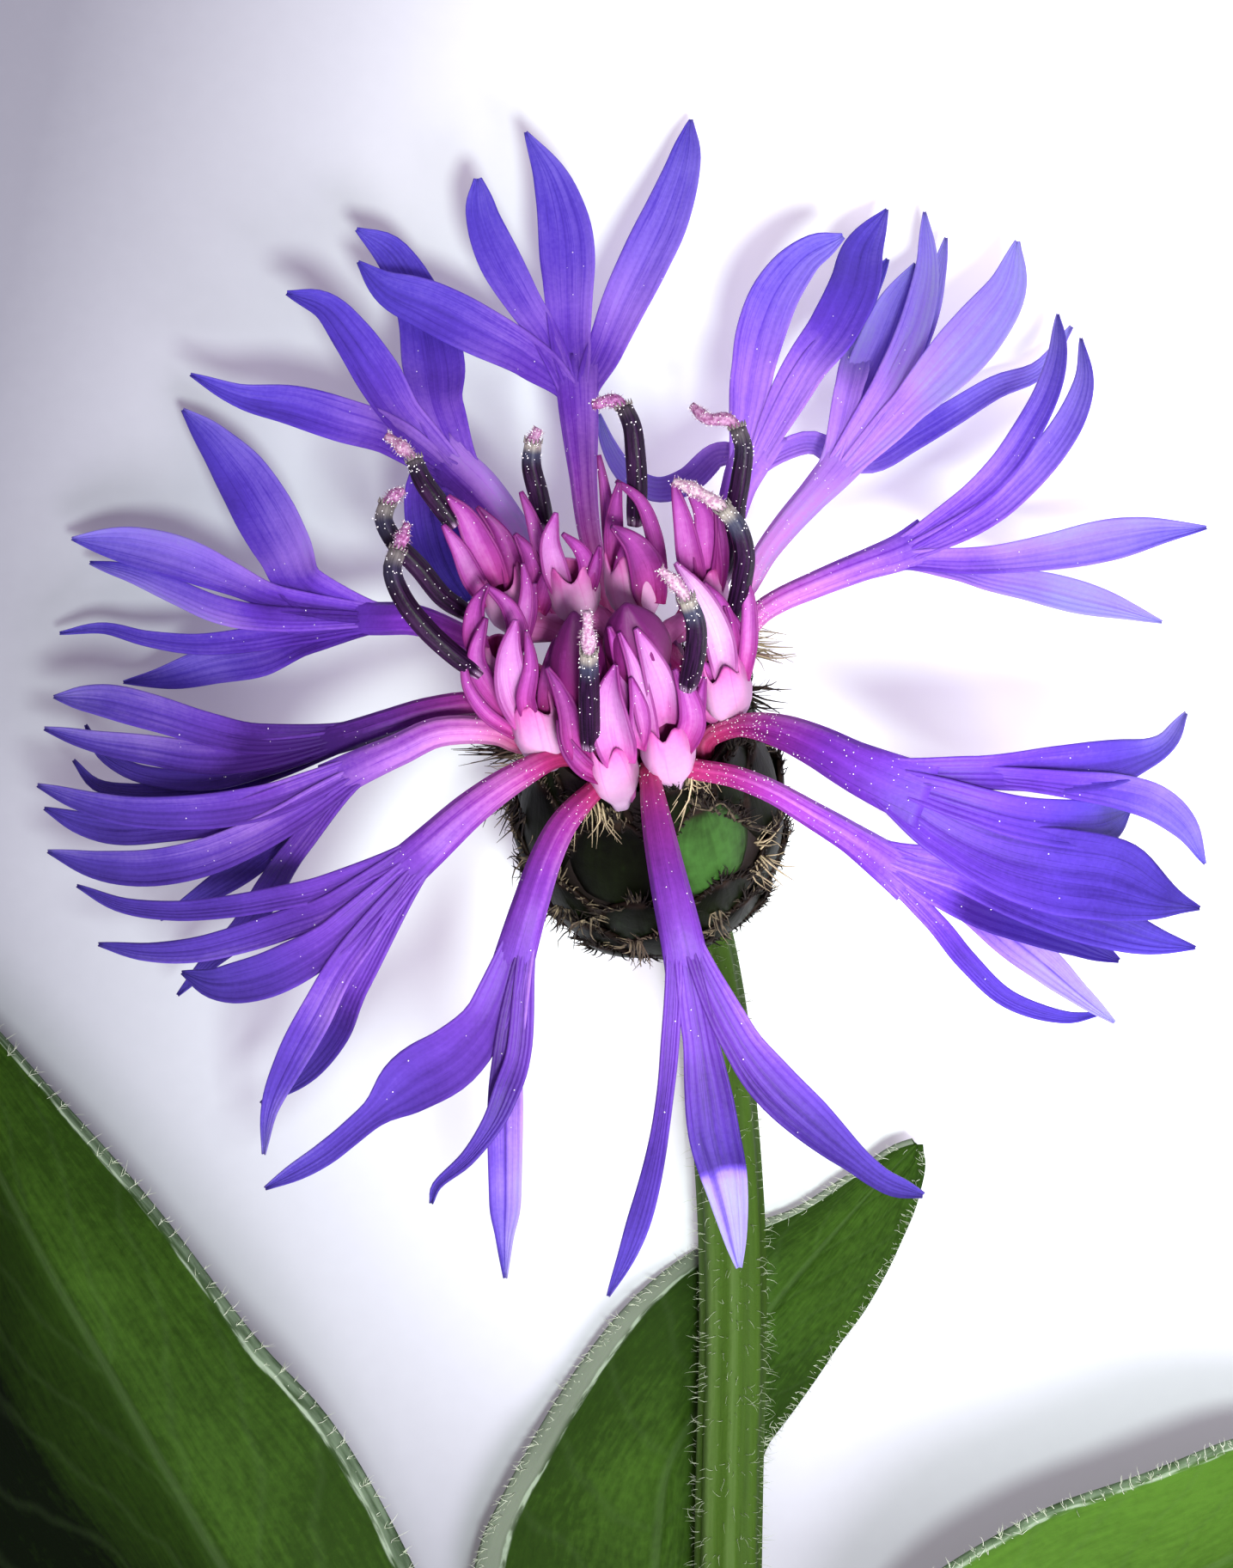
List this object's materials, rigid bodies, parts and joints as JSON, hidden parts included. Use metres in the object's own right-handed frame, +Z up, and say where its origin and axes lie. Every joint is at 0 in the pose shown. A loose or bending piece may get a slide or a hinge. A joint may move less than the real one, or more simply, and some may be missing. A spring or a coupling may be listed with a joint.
{
  "type": "mountain cornflower",
  "caption": "Cut mountain cornflower lying on a surface: spreading violet-blue ray florets, a pink disc with dark anthers, a fringed green involucre and a ribbed stem with lance-shaped leaves.",
  "frame": {"origin": "middle of the small flat spot under the involucre, on the surface that the flower lies on", "axes": "+Z up from the surface, +Y along the stem from its cut end towards the head, +X to the right seen from above"},
  "size_m": [0.0996, 0.1383, 0.0292],
  "materials": {
    "stem": "matt ribbed green stalk with short pale hairs",
    "involucre": "satin green bracts with dark brown comb fringes",
    "ray_petals": "silky violet-blue petal, magenta towards the root, with darker veins",
    "disc_petals": "silky pink to magenta petal",
    "anthers": "satin blackish violet, with pale pollen",
    "leaves": "matt green leaf with a woolly pale margin"
  },
  "bodies": {
    "root": {"stem": "stem", "involucre": "involucre", "ray_floret_01": "ray_petals", "ray_floret_02": "ray_petals", "ray_floret_03": "ray_petals", "ray_floret_04": "ray_petals", "ray_floret_05": "ray_petals", "ray_floret_06": "ray_petals", "ray_floret_07": "ray_petals", "ray_floret_08": "ray_petals", "ray_floret_09": "ray_petals", "ray_floret_10": "ray_petals", "ray_floret_11": "ray_petals", "ray_floret_12": "ray_petals", "ray_floret_13": "ray_petals", "disc_corollas": "disc_petals", "anther_column_1": "anthers", "anther_column_2": "anthers", "anther_column_3": "anthers", "anther_column_4": "anthers", "anther_column_5": "anthers", "anther_column_6": "anthers", "anther_column_7": "anthers", "anther_column_8": "anthers", "anther_column_9": "anthers", "leaf_1": "leaves", "leaf_2": "leaves", "leaf_3": "leaves"}
  },
  "joints": []
}
